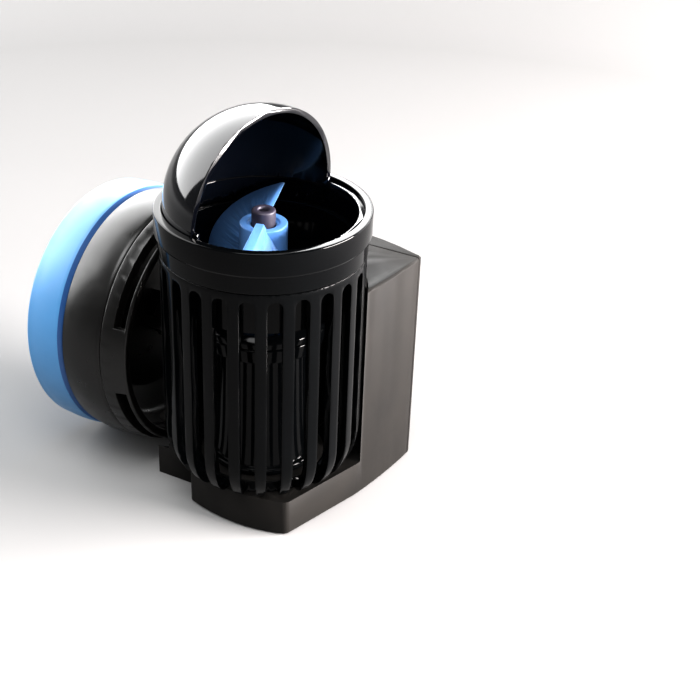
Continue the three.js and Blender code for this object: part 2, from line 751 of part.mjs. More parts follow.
function slottedRing() {
  const slots = [0, 1, 2, 3].map((quarter) => (
    arcSlot(ringSlot.firstMiddle - restSpin + (quarter * Math.PI) / 2)
  ));
  return cut(onHolderAxis([
    [39.6, holder.grooveX],
    [44.1, holder.grooveX],
    [44.7, holder.grooveX + 0.8],
    [42.7, holder.mouthX - 0.6],
    [42.1, holder.mouthX],
    [39.9, holder.mouthX],
    [39.5, holder.mouthX - 0.5],
  ]), ...slots);
}

add("magnet_cup", magnetCup(), "satin_black", holderGroup);
add("slotted_ring", slottedRing(), "satin_black", holderGroup);
add("flux_plate", onHolderAxis([
  [0, holder.backX - GAP],
  [magnetR, holder.backX - GAP],
  [magnetR, holder.backX - 3],
  [0, holder.backX - 3],
]), "laminated_steel", holderGroup);
add("magnet_disc", onHolderAxis([
  [0, holder.backX - 3.3],
  [magnetR, holder.backX - 3.3],
  [magnetR, holder.glassX + 2.8],
  [0, holder.glassX + 2.8],
]), "magnet_black", holderGroup);
add("buffer_cap", onHolderAxis([
  [0, holder.glassX],
  [padR - 2.2, holder.glassX],
  [padR - 0.6, holder.glassX + 0.6],
  [padR, holder.glassX + 2.2],
  [padR - 0.2, holder.seamX - 0.8],
  [padR - 0.6, holder.seamX],
  [padR - 1.8, holder.seamX + 1.2],
  [padR - capWall, holder.seamX + 1.2],
  [padR - capWall, holder.glassX + 2.5],
  [0, holder.glassX + 2.5],
]), "buffer_blue", holderGroup);

export default group;
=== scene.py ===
import json
import math

import bmesh
import bpy
from mathutils import Matrix, Vector


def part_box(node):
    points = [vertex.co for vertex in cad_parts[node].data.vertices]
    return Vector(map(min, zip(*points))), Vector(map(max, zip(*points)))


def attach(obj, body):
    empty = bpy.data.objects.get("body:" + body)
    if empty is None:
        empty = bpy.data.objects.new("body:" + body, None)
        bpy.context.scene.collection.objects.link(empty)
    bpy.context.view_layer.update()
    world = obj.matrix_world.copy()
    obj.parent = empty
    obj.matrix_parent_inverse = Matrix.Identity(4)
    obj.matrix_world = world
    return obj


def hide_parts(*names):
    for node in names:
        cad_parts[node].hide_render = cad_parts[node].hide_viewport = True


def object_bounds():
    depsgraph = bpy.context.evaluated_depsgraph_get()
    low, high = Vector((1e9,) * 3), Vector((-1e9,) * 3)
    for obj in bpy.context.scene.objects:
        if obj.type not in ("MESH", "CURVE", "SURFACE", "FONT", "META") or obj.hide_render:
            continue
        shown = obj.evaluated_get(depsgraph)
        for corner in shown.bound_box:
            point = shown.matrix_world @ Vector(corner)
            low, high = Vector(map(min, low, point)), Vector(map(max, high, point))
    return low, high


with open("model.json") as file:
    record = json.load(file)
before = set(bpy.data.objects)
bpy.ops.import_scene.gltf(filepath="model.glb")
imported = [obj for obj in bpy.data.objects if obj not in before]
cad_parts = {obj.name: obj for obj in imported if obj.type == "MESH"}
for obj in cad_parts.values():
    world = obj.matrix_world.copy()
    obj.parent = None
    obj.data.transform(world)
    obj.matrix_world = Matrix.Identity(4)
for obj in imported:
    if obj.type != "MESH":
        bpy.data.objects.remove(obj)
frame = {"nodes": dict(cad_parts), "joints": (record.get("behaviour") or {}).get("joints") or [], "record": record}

# The looks of the wave maker pump: finer meshes for the turned and moulded pieces, plastics, rubber and
# metal as node materials, a pale studio floor, soft light and the camera. Lengths in the profiles below are
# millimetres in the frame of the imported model; new meshes are scaled to metres as they are made.
CAD_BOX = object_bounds()
MM = 0.001

scene = bpy.context.scene


# ------------------------------------------------------------------ sizes taken from the frame
def low(node):
    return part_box(node)[0] / MM


def high(node):
    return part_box(node)[1] / MM


COLLAR_R = high("outlet_collar").x
RIM_Z = high("outlet_collar").z
COLLAR_FOOT = low("outlet_collar").z
CAGE_R = high("cage").x
CAGE_TOP = high("cage").z
CAGE_FOOT = low("cage").z
HOOD_RING_FOOT = low("outlet_hood").z
BLADE_TOP = high("propeller").z
HUB_TOP = BLADE_TOP - 1.6  # the blades stand a little above the hub
HUB_FOOT = low("propeller").z
SLEEVE_R = high("rotor_sleeve").x
SLEEVE_TOP = high("rotor_sleeve").z
SLEEVE_FOOT = low("rotor_sleeve").z
CAN_FOOT = low("rotor_can").z
CAN_TOP = high("rotor_can").z

# The magnet holder is drawn straight along X and then turned as its two joints stand at rest.
spin_joint, tilt_joint = (
    next(j for j in frame["joints"] if j["name"] == name) for name in ("holder_spin", "holder_tilt")
)
REST_SPIN = math.radians(-39)
REST_TILT = math.radians(-4)
HOLDER_Y, HOLDER_Z = (value / MM for value in spin_joint["pos_m"][1:])
HINGE_X = tilt_joint["pos_m"][0] / MM


def turned_about(point, angle, axis):
    place = Matrix.Translation(Vector(point))
    return place @ Matrix.Rotation(angle, 4, axis) @ place.inverted()


SWIVEL_TURN = turned_about((0, HOLDER_Y, HOLDER_Z), REST_SPIN, "X")
HOLDER_TURN = SWIVEL_TURN @ turned_about((HINGE_X, HOLDER_Y, 0), REST_TILT, "Z")


# ------------------------------------------------------------------ mesh helpers
def rounded(corners, steps=4):
    """A closed outline from (x, y, radius) corners, each rounded by a curve of about its radius."""
    outline = []
    for i, (x, y, radius) in enumerate(corners):
        here = Vector((x, y))
        if radius <= 0:
            outline.append(here)
            continue
        before = Vector(corners[i - 1][:2]) - here
        after = Vector(corners[(i + 1) % len(corners)][:2]) - here
        angle = before.angle(after)
        most = 0.45 * min(before.length, after.length)
        reach = min(radius / math.tan(angle / 2), most)
        start = here + before.normalized() * reach
        end = here + after.normalized() * reach
        for k in range(steps + 1):
            t = k / steps
            outline.append(start * (1 - t) ** 2 + here * 2 * t * (1 - t) + end * t ** 2)
    return [tuple(point) for point in outline]


def mesh_object(name, verts, faces, turn=None):
    mesh = bpy.data.meshes.new(name)
    turn = turn or Matrix.Identity(4)
    mesh.from_pydata([tuple((turn @ Vector(v)) * MM) for v in verts], [], faces)
    mesh.update()
    piece = bpy.data.objects.new(name, mesh)
    scene.collection.objects.link(piece)
    bm = bmesh.new()
    bm.from_mesh(mesh)
    bmesh.ops.recalc_face_normals(bm, faces=bm.faces)
    bm.to_mesh(mesh)
    bm.free()
    return piece


def lathe(name, outline, segments=160, axis="Z", centre=(0, 0, 0), turn=None, closed=True):
    """Turns an outline of (radius, height) points about an axis; points at radius 0 become poles."""
    verts = []
    rings = []
    for radius, height in outline:
        if radius < 1e-6:
            rings.append([len(verts)])
            verts.append((0, 0, height))
            continue
        rings.append(list(range(len(verts), len(verts) + segments)))
        for k in range(segments):
            angle = 2 * math.pi * k / segments
            verts.append((radius * math.cos(angle), radius * math.sin(angle), height))
    faces = []
    pairs = list(zip(rings, rings[1:]))
    if closed and outline[0][0] > 0:
        pairs.append((rings[-1], rings[0]))
    for lower, upper in pairs:
        if len(lower) == 1 and len(upper) == 1:
            continue
        for k in range(segments):
            n = (k + 1) % segments
            if len(lower) == 1:
                faces.append((lower[0], upper[k], upper[n]))
            elif len(upper) == 1:
                faces.append((lower[k], lower[n], upper[0]))
            else:
                faces.append((lower[k], lower[n], upper[n], upper[k]))
    lay = Matrix.Rotation(math.pi / 2, 4, "Y") if axis == "X" else Matrix.Identity(4)
    place = Matrix.Translation(Vector(centre)) @ lay
    return mesh_object(name, verts, faces, (turn or Matrix.Identity(4)) @ place)


def apply_modifiers(piece):
    graph = bpy.context.evaluated_depsgraph_get()
    made = bpy.data.meshes.new_from_object(piece.evaluated_get(graph))
    old = piece.data
    piece.modifiers.clear()
    piece.data = made
    bpy.data.meshes.remove(old)


def combine(piece, other, operation):
    """Boolean of one mesh with another; the second is used up."""
    step = piece.modifiers.new("combine", "BOOLEAN")
    step.operation = operation
    step.solver = "EXACT"
    step.object = other
    apply_modifiers(piece)
    bpy.data.objects.remove(other)


def soften(piece, width, segments=3, angle=35):
    """Rounds the sharp edges a little, as on any moulded piece, and shades the rest smooth."""
    bevel = piece.modifiers.new("soft edges", "BEVEL")
    bevel.width = width * MM
    bevel.segments = segments
    bevel.limit_method = "ANGLE"
    bevel.angle_limit = math.radians(angle)
    bevel.harden_normals = True
    bevel.use_clamp_overlap = True
    apply_modifiers(piece)
    smooth(piece, angle)


def smooth(piece, angle=35):
    for polygon in piece.data.polygons:
        polygon.use_smooth = True
    piece.data.set_sharp_from_angle(angle=math.radians(angle))


def refined(node, width=0.3, segments=3, angle=30):
    """A finer stand-in for a CAD piece: its faces merged where they are flat, its sharp edges rounded."""
    source = frame["nodes"][node]
    piece = bpy.data.objects.new(node + "_fine", source.data.copy())
    scene.collection.objects.link(piece)
    bm = bmesh.new()
    bm.from_mesh(piece.data)
    bmesh.ops.remove_doubles(bm, verts=bm.verts, dist=1e-6)
    bmesh.ops.dissolve_limit(bm, angle_limit=math.radians(1), verts=bm.verts, edges=bm.edges)
    bm.to_mesh(piece.data)
    bm.free()
    soften(piece, width, segments, angle)
    return piece


def dress(piece, body, slot, *nodes, finish=None):
    """Gives a new piece its material and body, and hides the CAD nodes that it stands for."""
    piece.data.materials.clear()
    piece.data.materials.append(materials[finish or slot])
    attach(piece, body)
    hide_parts(*nodes)


# ------------------------------------------------------------------ materials
def node_tree(name):
    material = bpy.data.materials.new(name)
    material.use_nodes = True
    tree = material.node_tree
    tree.nodes.clear()
    output = tree.nodes.new("ShaderNodeOutputMaterial")
    shader = tree.nodes.new("ShaderNodeBsdfPrincipled")
    tree.links.new(shader.outputs[0], output.inputs[0])
    return material, tree, shader


def noise(tree, scale, detail=3.0, stretch=(1, 1, 1)):
    """A noise that stays fixed to the piece it is on."""
    place = tree.nodes.new("ShaderNodeTexCoord")
    mapping = tree.nodes.new("ShaderNodeMapping")
    mapping.inputs["Scale"].default_value = stretch
    texture = tree.nodes.new("ShaderNodeTexNoise")
    texture.inputs["Scale"].default_value = scale
    texture.inputs["Detail"].default_value = detail
    tree.links.new(place.outputs["Object"], mapping.inputs["Vector"])
    tree.links.new(mapping.outputs["Vector"], texture.inputs["Vector"])
    return texture.outputs["Fac"]


def ramp(tree, factor, stops):
    """Colours along a factor, from (position, colour) stops."""
    node = tree.nodes.new("ShaderNodeValToRGB")
    while len(node.color_ramp.elements) < len(stops):
        node.color_ramp.elements.new(0.5)
    for element, (position, colour) in zip(node.color_ramp.elements, stops):
        element.position = position
        element.color = (*colour, 1)
    tree.links.new(factor, node.inputs["Fac"])
    return node.outputs["Color"]


def span(tree, factor, from_low, from_high, to_low, to_high):
    """Maps a factor from one range to another."""
    node = tree.nodes.new("ShaderNodeMapRange")
    node.inputs["From Min"].default_value = from_low
    node.inputs["From Max"].default_value = from_high
    node.inputs["To Min"].default_value = to_low
    node.inputs["To Max"].default_value = to_high
    tree.links.new(factor, node.inputs["Value"])
    return node.outputs["Result"]


def bump(tree, shader, height, strength, distance):
    node = tree.nodes.new("ShaderNodeBump")
    node.inputs["Strength"].default_value = strength
    node.inputs["Distance"].default_value = distance * MM
    tree.links.new(height, node.inputs["Height"])
    tree.links.new(node.outputs["Normal"], shader.inputs["Normal"])


def edge_mask(tree, radius):
    """0 on open surfaces, rising to 1 along edges, from how far a rounded normal leaves the true one."""
    soft = tree.nodes.new("ShaderNodeBevel")
    soft.samples = 4
    soft.inputs["Radius"].default_value = radius * MM
    true = tree.nodes.new("ShaderNodeNewGeometry")
    same_way, turned_away = 0.97, 0.75
    dot = tree.nodes.new("ShaderNodeVectorMath")
    dot.operation = "DOT_PRODUCT"
    tree.links.new(soft.outputs[0], dot.inputs[0])
    tree.links.new(true.outputs["Normal"], dot.inputs[1])
    return span(tree, dot.outputs["Value"], same_way, turned_away, 0, 1)


# The colour sockets of a mix node share their names with its other sockets, so they go by number.
MIX_FIRST = 6
MIX_SECOND = 7
MIX_RESULT = 2


def mixed(tree, factor, first, second):
    """The first colour where the factor is 0, the second where it is 1."""
    node = tree.nodes.new("ShaderNodeMix")
    node.data_type = "RGBA"
    tree.links.new(factor, node.inputs["Factor"])
    tree.links.new(first, node.inputs[MIX_FIRST])
    node.inputs[MIX_SECOND].default_value = (*second, 1)
    return node.outputs[MIX_RESULT]


MOTTLE_SCALE = 60
GLOSS_SCALE = 220
RUBBED_EDGE = 0.35
GRAIN_DEPTH = 0.02


def moulded(name, dark, light, worn, roughness, grain, specular=0.5):
    """Moulded plastic: mottled colour, rubbed edges, uneven gloss and the fine grain of the mould."""
    material, tree, shader = node_tree(name)
    mottle = ramp(tree, noise(tree, MOTTLE_SCALE), [(0.3, dark), (0.75, light)])
    edges = mixed(tree, edge_mask(tree, RUBBED_EDGE), mottle, worn)
    tree.links.new(edges, shader.inputs["Base Color"])
    gloss = span(tree, noise(tree, GLOSS_SCALE, 4), 0.3, 0.7, *roughness)
    tree.links.new(gloss, shader.inputs["Roughness"])
    shader.inputs["Specular IOR Level"].default_value = specular
    scale, strength = grain
    bump(tree, shader, noise(tree, scale, 2), strength, GRAIN_DEPTH)
    return material


MARK_SCALE = 500
MARK_STRENGTH = 0.15
MARK_DEPTH = 0.01


def metal(name, dark, light, roughness, stretch):
    """Metal with fine tool marks that run across the axis that stretch packs them along."""
    material, tree, shader = node_tree(name)
    marks = noise(tree, MARK_SCALE, 4, stretch)
    tree.links.new(ramp(tree, marks, [(0.3, dark), (0.7, light)]), shader.inputs["Base Color"])
    tree.links.new(span(tree, marks, 0.3, 0.7, *roughness), shader.inputs["Roughness"])
    shader.inputs["Metallic"].default_value = 1
    bump(tree, shader, marks, MARK_STRENGTH, MARK_DEPTH)
    return material


def grey(value, warm=0.0):
    """A near-neutral colour; warm tips it from blue toward red."""
    return (value * (1 + warm), value, value * (1 - warm))


# dark and light are the two ends of the mottle, worn is the colour along rubbed edges, roughness is a
# range, and grain is the scale and the strength of the mould's texture.
PLASTICS = {
    "satin_black": {
        "dark": grey(0.0072, 0.06),
        "light": grey(0.0090, 0.09),
        "worn": grey(0.016, 0.06),
        "roughness": (0.5, 0.56),
        "grain": (1800, 0.12),
        "specular": 0.08,
    },
    "cup_black": {
        "dark": grey(0.0013, 0.1),
        "light": grey(0.0023, 0.1),
        "worn": grey(0.009),
        "roughness": (0.27, 0.36),
        "grain": (1500, 0.08),
        "specular": 0.34,
    },
    "gloss_black": {
        "dark": grey(0.0008, -0.2),
        "light": grey(0.0012, -0.2),
        "worn": grey(0.005),
        "roughness": (0.07, 0.11),
        "grain": (500, 0.03),
        "specular": 0.1,
    },
    "hood_black": {
        "dark": (0.0008, 0.0010, 0.0018),
        "light": (0.0011, 0.0014, 0.0026),
        "worn": grey(0.005),
        "roughness": (0.06, 0.10),
        "grain": (500, 0.03),
        "specular": 0.34,
    },
    "propeller_blue": {
        "dark": (0.10, 0.245, 0.54),
        "light": (0.13, 0.29, 0.60),
        "worn": (0.32, 0.54, 0.82),
        "roughness": (0.28, 0.38),
        "grain": (900, 0.08),
    },
    "buffer_blue": {
        "dark": (0.056, 0.195, 0.385),
        "light": (0.066, 0.212, 0.41),
        "worn": (0.21, 0.46, 0.72),
        "roughness": (0.36, 0.46),
        "grain": (1500, 0.12),
    },
    # painted shade: a deeper blue for the buffer's lip, where it faces the cup and lies in shadow
    "lip_shade_blue": {
        "dark": (0.012, 0.065, 0.20),
        "light": (0.016, 0.075, 0.23),
        "worn": (0.14, 0.36, 0.62),
        "roughness": (0.36, 0.46),
        "grain": (1500, 0.12),
    },
    "bearing_grey": {
        "dark": (0.026, 0.022, 0.036),
        "light": (0.040, 0.034, 0.056),
        "worn": (0.11, 0.10, 0.11),
        "roughness": (0.45, 0.55),
        "grain": (1600, 0.2),
    },
    "magnet_black": {
        "dark": grey(0.020),
        "light": grey(0.034),
        "worn": grey(0.07),
        "roughness": (0.5, 0.65),
        "grain": (2500, 0.4),
    },
    "dark_resin": {
        "dark": grey(0.018),
        "light": grey(0.028),
        "worn": grey(0.06),
        "roughness": (0.4, 0.55),
        "grain": (2500, 0.3),
    },
    "seal_rubber": {
        "dark": grey(0.008),
        "light": grey(0.014),
        "worn": grey(0.03),
        "roughness": (0.65, 0.8),
        "grain": (2200, 0.4),
    },
    "board_green": {
        "dark": (0.010, 0.085, 0.035),
        "light": (0.016, 0.12, 0.05),
        "worn": (0.09, 0.22, 0.12),
        "roughness": (0.35, 0.5),
        "grain": (1200, 0.2),
    },
    "ceramic_white": {
        "dark": grey(0.70, 0.04),
        "light": grey(0.79, 0.04),
        "worn": grey(0.88, 0.02),
        "roughness": (0.2, 0.3),
        "grain": (800, 0.05),
    },
}
# stretch packs the tool marks closer along one axis.
METALS = {
    "steel": {
        "dark": grey(0.37),
        "light": grey(0.51),
        "roughness": (0.22, 0.36),
        "stretch": (1, 1, 8),
    },
    "laminated_steel": {
        "dark": grey(0.125),
        "light": grey(0.205),
        "roughness": (0.4, 0.55),
        "stretch": (1, 1, 20),
    },
    "copper": {
        "dark": (0.42, 0.10, 0.025),
        "light": (0.6, 0.19, 0.06),
        "roughness": (0.25, 0.4),
        "stretch": (1, 1, 30),
    },
}
materials = {name: moulded(name, **look) for name, look in PLASTICS.items()}
materials.update({name: metal(name, **look) for name, look in METALS.items()})

# A CAD node shows with its slot's own look; pieces with a finish of their own get it from dress.
slot_of = {part["node"]: part["material_slot"] for part in frame["record"]["subparts"]}
for node, cad_object in frame["nodes"].items():
    cad_object.data.materials.clear()
    cad_object.data.materials.append(materials[slot_of[node]])


# ------------------------------------------------------------------ outlet collar and hood
HOOD_R = high("outlet_hood").x
HOOD_WALL = 1.7
SPIGOT_R = 30.1
SPIGOT_WALL = 1.2
BAND_Z = 100.9  # where the wide upper band ends
STEP = 1.1  # how far the lower band stands back from the upper one
RIM_GAP = 0.2  # between the collar's rim and the hood that turns in it
PART_GAP = 0.3  # between pieces that meet


def make_collar():
    bore = HOOD_R + RIM_GAP
    collar = lathe("outlet_collar_fine", rounded([
        (SPIGOT_R - SPIGOT_WALL, COLLAR_FOOT, 0.3),
        (SPIGOT_R, COLLAR_FOOT, 0.3),
        (SPIGOT_R, CAGE_TOP + PART_GAP, 0),
        (COLLAR_R - STEP, CAGE_TOP + PART_GAP, 0.45),
        (COLLAR_R - STEP, BAND_Z - 0.3, 0.25),
        (COLLAR_R - 0.3, BAND_Z - 0.1, 0.15),
        (COLLAR_R, BAND_Z + 0.5, 0.3),
        (COLLAR_R, RIM_Z, 0.55),
        (bore, RIM_Z, 0.3),
        (bore, HOOD_RING_FOOT - PART_GAP, 0.2),
        (SPIGOT_R - SPIGOT_WALL, HOOD_RING_FOOT - PART_GAP, 0.6),
    ]), segments=240)
    smooth(collar, 50)
    return collar


HOOD_TURN = math.radians(-12)
HOOD_LEAN = math.radians(4)
HOOD_RING_TOP = RIM_Z - 1.2
BEAD_Z = RIM_Z - 3.3  # a fine bead round the inside of the hood's ring
BEAD_R = 0.3
BEAD_HALF = 0.35
LUG = {"back": -0.9, "front": 1.4, "half": 0.5, "foot": RIM_Z - 5, "top": RIM_Z + 0.6, "sunk": 0.25}
BOX_FACES = [(0, 1, 3, 2), (4, 6, 7, 5), (0, 4, 5, 1), (2, 3, 7, 6), (0, 2, 6, 4), (1, 5, 7, 3)]


def block_mesh(name, corner, opposite, turn=None):
    """A block between two corners, used only to cut with or to be joined to a finer piece."""
    corners = [
        (x, y, z)
        for x in (corner[0], opposite[0])
        for y in (corner[1], opposite[1])
        for z in (corner[2], opposite[2])
    ]
    return mesh_object(name, corners, BOX_FACES, turn)


def hood_profile():
    """Down the inside of the dome from its top, past the bead, round the foot and up the outside."""
    inner = HOOD_R - HOOD_WALL
    steps = 36
    quarter = [math.pi / 2 * k / steps for k in range(steps + 1)]
    outside = [(HOOD_R * math.cos(a), RIM_Z + HOOD_R * math.sin(a)) for a in quarter]
    inside = [(inner * math.cos(a), RIM_Z + inner * math.sin(a)) for a in reversed(quarter)]
    outside[-1] = (0, RIM_Z + HOOD_R)
    inside[0] = (0, RIM_Z + inner)
    bead = []
    for k in range(5):
        swell = BEAD_R * math.sin(math.pi * k / 4)
        bead.append((inner - swell, BEAD_Z + BEAD_HALF * (1 - k / 2)))
    return inside + bead + [(inner, HOOD_RING_FOOT), (HOOD_R, HOOD_RING_FOOT)] + outside


def make_hood():
    """A dome on a ring, with its front half cut away and a small lug at each end of the opening."""
    hood = lathe("outlet_hood_fine", hood_profile(), segments=180, closed=False)
    size = 2 * COLLAR_R
    lean = Matrix.Rotation(HOOD_TURN, 4, "Z") @ Matrix.Rotation(HOOD_LEAN, 4, "Y")
    place = Matrix.Translation((0, 0, RIM_Z)) @ lean
    front = block_mesh("front_half", (0, -size, -size), (size, size, size), place)
    roof = block_mesh("above_ring", (-size, -size, HOOD_RING_TOP), (size, size, HOOD_RING_TOP + size))
    combine(front, roof, "INTERSECT")
    combine(hood, front, "DIFFERENCE")
    for side in (-1, 1):
        middle = side * (HOOD_R - HOOD_WALL - LUG["sunk"])
        lug = block_mesh(
            "lug",
            (LUG["back"], middle - LUG["half"], LUG["foot"]),
            (LUG["front"], middle + LUG["half"], LUG["top"]),
            Matrix.Rotation(HOOD_TURN, 4, "Z"),
        )
        combine(hood, lug, "UNION")
    soften(hood, 0.35, 3, 40)
    return hood


# ------------------------------------------------------------------ intake cage
CAGE = {
    "slots": 24,
    "slot_half": 2.5,
    "slot_top": 91.8,
    "wall": 3.2,
    "round_top": 30.9,
    "ring_r": 23.2,
    "ring_inner_r": 22.0,
    "floor_r": 21.6,
    "floor_top": 16.9,
}


def cage_stations():
    """The cage's profile from top to floor, as pairs of outer and inner (radius, height)."""
    inner_r = CAGE_R - CAGE["wall"]
    arc_z = CAGE["slot_top"] - CAGE["slot_half"]
    straight = 8
    stations = []
    for k in range(straight):
        z = arc_z + (CAGE["round_top"] - arc_z) * k / straight
        stations.append(((CAGE_R, z), (inner_r, z)))
    bend = 16
    for k in range(bend + 1):
        angle = math.pi / 2 * k / bend
        pair = []
        for wall_r, ring_r, floor in (
            (CAGE_R, CAGE["ring_r"], CAGE_FOOT),
            (inner_r, CAGE["ring_inner_r"], CAGE["floor_top"]),
        ):
            radius = ring_r + (wall_r - ring_r) * math.cos(angle)
            pair.append((radius, CAGE["round_top"] - (CAGE["round_top"] - floor) * math.sin(angle)))
        stations.append(tuple(pair))
    return stations


def make_cage():
    """An outer and an inner sheet with the same slots, joined along every free edge."""
    half = CAGE["slot_half"]
    inner_r = CAGE_R - CAGE["wall"]
    pitch = 2 * math.pi / CAGE["slots"]
    arc_steps = 12
    arc = [math.pi * (1 - k / arc_steps) for k in range(arc_steps + 1)]
    index = {}
    sheets = ([], [])
    faces = []

    def put(station, middle, across, rise=0.0):
        """One point of both sheets; across runs from 0 at the slot's middle, 1 at its edge, 2 mid-rib."""
        pair = []
        for radius, z in station:
            edge = math.asin(half / radius)
            reach = abs(across)
            offset = edge * reach if reach <= 1 else edge + (pitch / 2 - edge) * (reach - 1)
            angle = middle + math.copysign(offset, across)
            pair.append((radius * math.cos(angle), radius * math.sin(angle), z + rise))
        key = tuple(round(value, 3) for value in pair[0])
        if key not in index:
            index[key] = len(sheets[0])
            sheets[0].append(pair[0])
            sheets[1].append(pair[1])
        return index[key]

    def strip(first, second):
        for k in range(len(first) - 1):
            faces.append((first[k], first[k + 1], second[k + 1], second[k]))

    rib = (2, 1.5, 1)  # from the middle of a rib to the edge of the slot
    rim = ((CAGE_R, CAGE_TOP), (inner_r, CAGE_TOP))
    brow = ((CAGE_R, CAGE["slot_top"] + 1), (inner_r, CAGE["slot_top"] + 1))
    hub = ((CAGE["floor_r"], CAGE_FOOT), (CAGE["floor_r"], CAGE["floor_top"]))
    stations = cage_stations()
    for sector in range(CAGE["slots"]):
        middle = (sector + 0.5) * pitch

        def left(station):
            return [put(station, middle, -step) for step in rib]

        def right(station):
            return [put(station, middle, step) for step in reversed(rib)]

        def full(station):
            across = [put(station, middle, math.cos(a)) for a in arc[1:-1]]
            return left(station) + across + right(station)

        strip(full(rim), full(brow))
        arch = [put(stations[0], middle, math.cos(a), half * math.sin(a)) for a in arc[1:-1]]
        strip(full(brow), left(stations[0]) + arch + right(stations[0]))
        for upper, lower in zip(stations, stations[1:]):
            strip(left(upper), left(lower))
            strip(right(upper), right(lower))
        strip(full(stations[-1]), full(hub))

    # An edge that only one face uses is a free one, where a wall joins the two sheets.
    uses = {}
    for face in faces:
        for a, b in zip(face, face[1:] + face[:1]):
            uses.setdefault(frozenset((a, b)), []).append((a, b))
    count = len(sheets[0])
    walls = [
        (b, a, a + count, b + count)
        for (a, b), *others in uses.values()
        if not others
    ]
    inside = [tuple(i + count for i in reversed(face)) for face in faces]
    cage = mesh_object("cage_fine", sheets[0] + sheets[1], faces + inside + walls)
    soften(cage, 0.4, 3, 50)
    return cage


# ------------------------------------------------------------------ rotor
BLADE = {
    "r": 28.5,
    "root_half": 1.2,
    "tip_half": 0.7,
    "foot": 80.0,
    "top": BLADE_TOP,
    "sweep": math.radians(54),
    "camber": 2.7,
    "lead": math.radians(108),
}
HUB_R = 7.8
HUB_BORE_R = SLEEVE_R + 0.3
RECESS_R = SLEEVE_R + 1.2  # a shallow recess round the sleeve
RECESS_Z = HUB_TOP - 0.8


def make_blade(lead):
    """A strip that stands upright at its foot and sweeps round the axis toward its top edge."""
    root = RECESS_R
    tip_round = BLADE["tip_half"] * 0.9
    strip = rounded([
        (root, -BLADE["root_half"], 0),
        (BLADE["r"], -BLADE["tip_half"], tip_round),
        (BLADE["r"], BLADE["tip_half"], tip_round),
        (root, BLADE["root_half"], 0),
    ])
    steps = 40
    count = len(strip)
    verts = []
    for k in range(steps + 1):
        rise = k / steps
        turn = Matrix.Rotation(lead + BLADE["sweep"] * (1 - rise ** BLADE["camber"]), 4, "Z")
        z = BLADE["foot"] + rise * (BLADE["top"] - BLADE["foot"])
        verts += [tuple(turn @ Vector((x, y, z))) for x, y in strip]
    faces = [tuple(range(count)), tuple(range(steps * count, (steps + 1) * count))]
    for k in range(steps):
        for j in range(count):
            n = (j + 1) % count
            below = k * count
            above = (k + 1) * count
            faces.append((below + j, below + n, above + n, above + j))
    return mesh_object("blade", verts, faces)


def make_propeller():
    hub = lathe("propeller_fine", rounded([
        (HUB_BORE_R, HUB_FOOT, 0.2),
        (HUB_R, HUB_FOOT, 1.5),
        (HUB_R, HUB_TOP, 0.6),
        (RECESS_R + 0.3, HUB_TOP, 0.3),
        (RECESS_R, RECESS_Z, 0.2),
        (HUB_BORE_R, RECESS_Z, 0.1),
    ]), segments=96)
    for half_turn in (0, math.pi):
        combine(hub, make_blade(BLADE["lead"] + half_turn), "UNION")
    soften(hub, 0.2, 2, 45)
    return hub


SLEEVE_BORE_R = 1.7
SLEEVE_SEAT_R = 1.8  # where the bore widens for the shaft, some way down
SLEEVE_SEAT_Z = SLEEVE_TOP - 3


def make_sleeve():
    sleeve = lathe("rotor_sleeve_fine", rounded([
        (SLEEVE_SEAT_R, SLEEVE_FOOT, 0.1),
        (SLEEVE_R, SLEEVE_FOOT, 0.2),
        (SLEEVE_R, SLEEVE_TOP, 0.7),
        (SLEEVE_BORE_R + 0.3, SLEEVE_TOP, 0.3),
        (SLEEVE_BORE_R, SLEEVE_TOP - 0.6, 0.2),
        (SLEEVE_BORE_R, SLEEVE_SEAT_Z, 0.1),
        (SLEEVE_SEAT_R, SLEEVE_SEAT_Z - 0.1, 0.05),
    ]), segments=72)
    smooth(sleeve, 50)
    return sleeve


# ------------------------------------------------------------------ motor can
CAN_R = 17.0
CAN_INNER_R = CAN_R - 1.4
CAN_FLANGE_R = CAN_R + 1.6
CAN_HEAD_R = CAN_R + 3.6
CAN_HEAD_UNDER = CAN_TOP - 3.4
WELL_R = 9.2
WELL_OUTER_R = WELL_R + 1.2
COVER_R = CAN_R + 3.4
COVER_FOOT = CAN_TOP + PART_GAP
COVER_BORE_R = SLEEVE_R + 0.4
COVER_PLUG_FOOT = CAN_TOP - 6


def make_can():
    """The motor's can: a flange at its foot, a wide head, and a well for the rotor down its middle."""
    can = lathe("rotor_can_fine", rounded([
        (0, CAN_FOOT + 0.3, 0),
        (WELL_OUTER_R, CAN_FOOT + 0.3, 0.5),
        (WELL_OUTER_R, CAN_HEAD_UNDER, 0.5),
        (CAN_INNER_R, CAN_HEAD_UNDER, 0.5),
        (CAN_INNER_R, CAN_FOOT, 0.2),
        (CAN_FLANGE_R, CAN_FOOT, 0.3),
        (CAN_FLANGE_R, CAN_FOOT + 2.4, 0.6),
        (CAN_R, CAN_FOOT + 2.4, 0.4),
        (CAN_R, CAN_TOP - 6, 1),
        (CAN_HEAD_R, CAN_TOP - 4.6, 0.6),
        (CAN_HEAD_R, CAN_TOP, 0.5),
        (WELL_R, CAN_TOP, 0.4),
        (WELL_R, CAN_FOOT + 2.6, 0.5),
        (0, CAN_FOOT + 2.6, 0),
    ], 3), segments=120, closed=False)
    smooth(can, 40)
    return can


